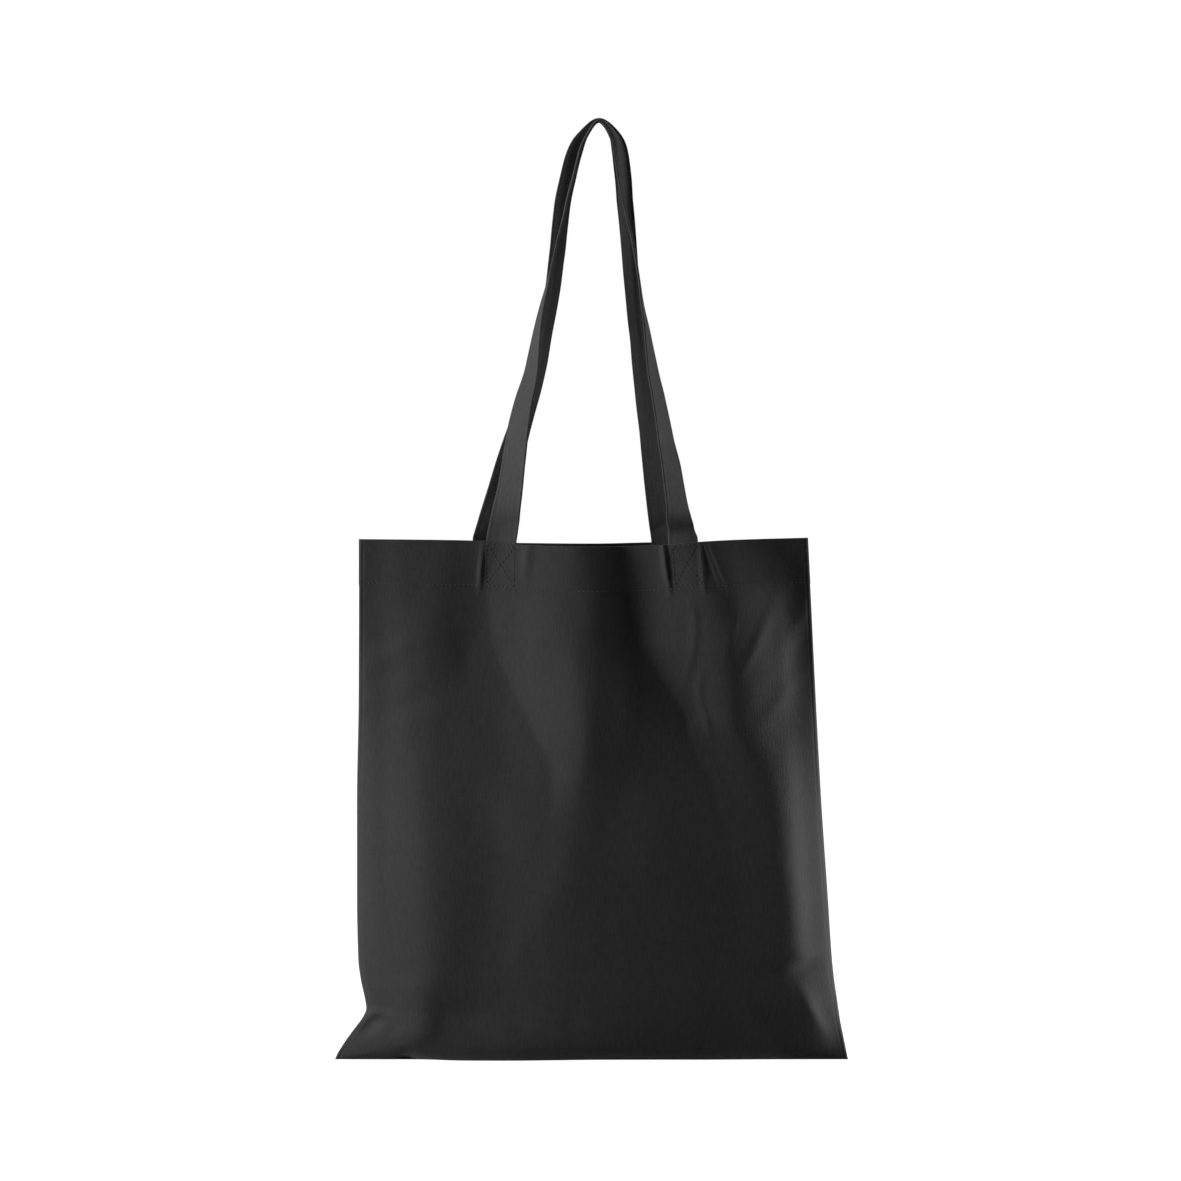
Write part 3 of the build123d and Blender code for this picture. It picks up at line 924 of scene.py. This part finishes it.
def on_panel(side, x, z, inside=False):
    """Points and outward directions on the panel's outer face, or on the strap inside the hem."""
    sign = SIGN[side]
    depth = stand_out(side, x, z)
    if inside:
        depth = depth - (2 * FOLD + LAYER_AIR + STRAP_THICK)
    slope_x = stand_out(side, x + 0.5, z) - stand_out(side, x - 0.5, z)
    slope_z = stand_out(side, x, z + 0.5) - stand_out(side, x, z - 0.5)
    outward = unit(np.stack([-slope_x, sign + 0 * x, -slope_z], axis=1))
    points = np.stack([x, sign * depth, z], axis=1)
    return points, -outward if inside else outward


def gather(rows):
    """Joins several rows of stitches into one list of points and faces."""
    points, faces, count = [], [], 0
    for row_points, row_faces in rows:
        points.append(row_points)
        faces += [[i + count for i in f] for f in row_faces]
        count += len(row_points)
    return np.concatenate(points), faces


def make_thread(name, rows, *nodes_replaced):
    """One piece of sewing from its rows of stitches."""
    points, faces = gather(rows)
    piece = make_mesh(name, points, faces, np.stack([points[:, 0], points[:, 2]], axis=1) * MM, (THREAD_PAINTED_HIGHLIGHT,))
    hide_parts(*nodes_replaced)
    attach(piece, "bag")
    return piece


# Corners of the stitched boxes, as X and drop from the rim: lower left, lower right, upper right,
# upper left.
BOXES = {
    ("front", "left"): [(-78, 32), (-57, 32), (-56.4, 1.8), (-77.4, 1.8)],
    ("front", "right"): [(62, 31), (82.4, 31), (77.8, 1.8), (60, 1.8)],
    ("back", "left"): [(-87.8, 31), (-67, 31), (-66.6, 1.8), (-87.4, 1.8)],
    ("back", "right"): [(46, 31), (66.4, 31), (66, 1.8), (45.4, 1.8)],
}
sewing = []
for side in ("front", "back"):
    x = np.linspace(left_edge(RIM - HEM_DEPTH) + 3, right_edge(RIM - HEM_DEPTH) - 3, 400)
    row = on_panel(side, x, rim_height(side, x) - HEM_DEPTH)
    sewing.append(make_thread(f"{side}_hem_stitches", [stitches(*row)], f"{side}_hem_stitching"))
for (side, hand), corners in BOXES.items():
    corners = np.array(corners, float)
    lines = [(0, 1), (1, 2), (2, 3), (3, 0), (0, 2), (1, 3)]
    rows = []
    for a, b in lines:
        t = np.linspace(0, 1, 30)
        x = corners[a, 0] + t * (corners[b, 0] - corners[a, 0])
        z = rim_height(side, x) - (corners[a, 1] + t * (corners[b, 1] - corners[a, 1]))
        for inside in (False, True):
            rows.append(stitches(*on_panel(side, x, z, inside)))
    sewing.append(make_thread(f"{side}_{hand}_box_stitches", rows, f"{side}_{hand}_box_stitching"))
print(f"{len(sewing)} pieces of sewing")

# %% [markdown]
# ## The straps in the frame
# The bag stands still. Each strap swings about the rim in the frame, but here its CAD pieces are only
# hidden and the strap is left where it was built, with its place baked into its points.

# %% Straps baked in place
for side, (piece, length) in straps.items():
    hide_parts(f"{side}_handle", f"{side}_left_strap_end", f"{side}_right_strap_end")
    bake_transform(piece)

# %% [markdown]
# ## Stage, light and camera
# Black cloth is shaped by light from the sides, because its folds are shallow. A tall soft light
# stands far round to the left, so slopes that face left catch it and the others stay dark, and a
# narrower one stands even further round to the right and draws the edge of the bag. Two weak ones on
# the right lift the low part of the bag and the straps. The room itself is dim, so the folds keep
# their contrast, but it looks white behind the bag. The floor is a grey table that glows only to the
# camera, which hides most of the shadow.

# %% Stage
floor_mesh = bpy.data.meshes.new("floor")
floor_mesh.from_pydata([(-60, -60, 0), (60, -60, 0), (60, 60, 0), (-60, 60, 0)], [], [(0, 1, 2, 3)])
floor = bpy.data.objects.new("floor", floor_mesh)
bpy.context.scene.collection.objects.link(floor)
pale = bpy.data.materials.new("pale_floor")
pale.use_nodes = True
table = pale.node_tree.nodes["Principled BSDF"]
table.inputs["Base Color"].default_value = (0.35, 0.35, 0.35, 1)
table.inputs["Roughness"].default_value = 0.9
table.inputs["Specular IOR Level"].default_value = 0.1
table.inputs["Emission Color"].default_value = (1, 1, 1, 1)
rays = pale.node_tree.nodes.new("ShaderNodeLightPath")
pale.node_tree.links.new(rays.outputs["Is Camera Ray"], table.inputs["Emission Strength"])
floor_mesh.materials.append(pale)

ROOM_LIGHT = 0.26                   # how strongly the room lights the bag; it is seen as white
world = bpy.data.worlds.new("studio")
bpy.context.scene.world = world
world.use_nodes = True
room = world.node_tree
rays = room.nodes.new("ShaderNodeLightPath")
strength = calculate(room, "MULTIPLY", rays.outputs["Is Camera Ray"], 1.0 - ROOM_LIGHT)
room.links.new(calculate(room, "ADD", strength, ROOM_LIGHT), room.nodes["Background"].inputs["Strength"])
room.nodes["Background"].inputs["Color"].default_value = (1.0, 1.0, 1.0, 1)


def soft_light(name, place, target, size, power, spread=180.0):
    """A rectangular lamp at a place in metres, turned to face the target; a grid narrows its spread."""
    lamp = bpy.data.lights.new(name, "AREA")
    lamp.shape, lamp.size, lamp.size_y, lamp.energy = "RECTANGLE", size[0], size[1], power
    lamp.spread = math.radians(spread)
    holder = bpy.data.objects.new(name, lamp)
    holder.location = place
    direction = np.array(target, float) - np.array(place, float)
    flat = math.hypot(direction[0], direction[1])
    heading = math.atan2(direction[1], direction[0]) - math.pi / 2
    holder.rotation_euler = (math.atan2(flat, -direction[2]), 0, heading)
    bpy.context.scene.collection.objects.link(holder)


middle = (0, 0, RIM * MM * 0.6)
soft_light("key", (-2.1, -0.62, 0.75), middle, (0.7, 1.6), 95)
soft_light("edge", (1.45, 0.56, 0.13), (0.1, 0, 0.13), (0.45, 0.3), 1.0, spread=34)
soft_light("fill", (2.0, -0.15, 0.10), (0, 0, 0.10), (0.8, 0.3), 1.15, spread=30)
soft_light("strap_light", (1.6, -0.10, 0.62), (0, 0, 0.59), (0.2, 0.3), 0.20, spread=20)
bpy.context.scene.view_settings.view_transform = "Standard"

# %% Camera
DISTANCE = 6.0                      # metres
FRAME_WIDTH = 0.8765                # metres across the picture at the bag
camera = bpy.data.cameras.new("camera")
camera.sensor_width = 36.0
camera.lens = camera.sensor_width * DISTANCE / FRAME_WIDTH
eye = bpy.data.objects.new("camera", camera)
aim_height, eye_height = 0.3484, 0.412
eye.location = (-0.0003, -DISTANCE, eye_height)
eye.rotation_euler = (math.pi / 2 - math.atan2(eye_height - aim_height, DISTANCE), 0, 0)
bpy.context.scene.collection.objects.link(eye)
bpy.context.scene.camera = eye
